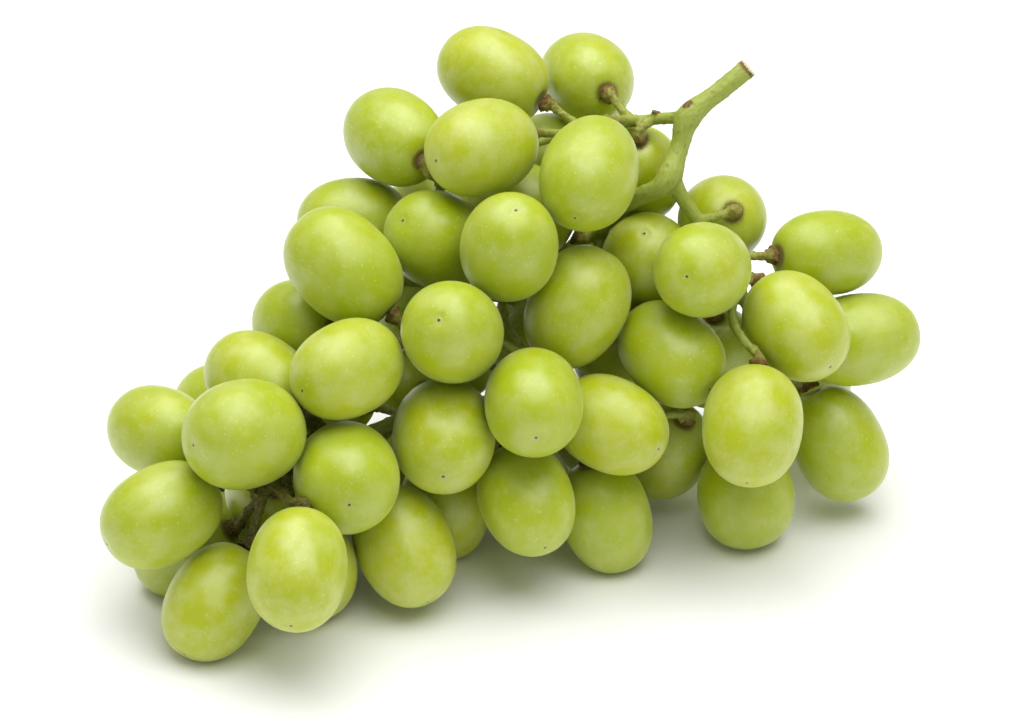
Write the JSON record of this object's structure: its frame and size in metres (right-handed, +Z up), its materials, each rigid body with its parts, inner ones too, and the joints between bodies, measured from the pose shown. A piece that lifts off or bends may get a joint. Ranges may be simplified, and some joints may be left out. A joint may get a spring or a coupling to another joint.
{
  "type": "bunch of grapes",
  "caption": "Loose bunch of green table grapes lying on its side: oval berries on short pedicels along one branched, woody stem.",
  "frame": {"origin": "on the surface it lies on, under the middle of the bunch's box", "axes": "+Z up from the surface; the bunch lies along X with its tip to -X and the cut end of its stem up at +X; -Y is the side seen from the front"},
  "size_m": [0.1706, 0.1306, 0.0978],
  "materials": {
    "berry_skin": "translucent yellow-green skin with a thin waxy bloom",
    "stem": "matt green to brown stem, browner and warty at the pedicels"
  },
  "bodies": {
    "root": {"stem": "stem", "berry_back_1": "berry_skin", "berry_back_10": "berry_skin", "berry_back_11": "berry_skin", "berry_back_2": "berry_skin", "berry_back_3": "berry_skin", "berry_back_4": "berry_skin", "berry_back_5": "berry_skin", "berry_back_6": "berry_skin", "berry_back_7": "berry_skin", "berry_back_8": "berry_skin", "berry_back_9": "berry_skin", "berry_front_1": "berry_skin", "berry_front_10": "berry_skin", "berry_front_11": "berry_skin", "berry_front_12": "berry_skin", "berry_front_13": "berry_skin", "berry_front_2": "berry_skin", "berry_front_3": "berry_skin", "berry_front_4": "berry_skin", "berry_front_5": "berry_skin", "berry_front_6": "berry_skin", "berry_front_7": "berry_skin", "berry_front_8": "berry_skin", "berry_front_9": "berry_skin", "berry_left_1": "berry_skin", "berry_left_2": "berry_skin", "berry_left_3": "berry_skin", "berry_left_4": "berry_skin", "berry_left_5": "berry_skin", "berry_right_1": "berry_skin", "berry_right_10": "berry_skin", "berry_right_2": "berry_skin", "berry_right_3": "berry_skin", "berry_right_4": "berry_skin", "berry_right_5": "berry_skin", "berry_right_6": "berry_skin", "berry_right_7": "berry_skin", "berry_right_8": "berry_skin", "berry_right_9": "berry_skin", "berry_tip_1": "berry_skin", "berry_tip_10": "berry_skin", "berry_tip_11": "berry_skin", "berry_tip_12": "berry_skin", "berry_tip_2": "berry_skin", "berry_tip_3": "berry_skin", "berry_tip_4": "berry_skin", "berry_tip_5": "berry_skin", "berry_tip_6": "berry_skin", "berry_tip_7": "berry_skin", "berry_tip_8": "berry_skin", "berry_tip_9": "berry_skin", "berry_wing_1": "berry_skin", "berry_wing_2": "berry_skin", "berry_wing_3": "berry_skin", "berry_wing_4": "berry_skin", "berry_wing_5": "berry_skin", "berry_wing_6": "berry_skin", "berry_wing_7": "berry_skin", "berry_wing_8": "berry_skin"}
  },
  "joints": []
}
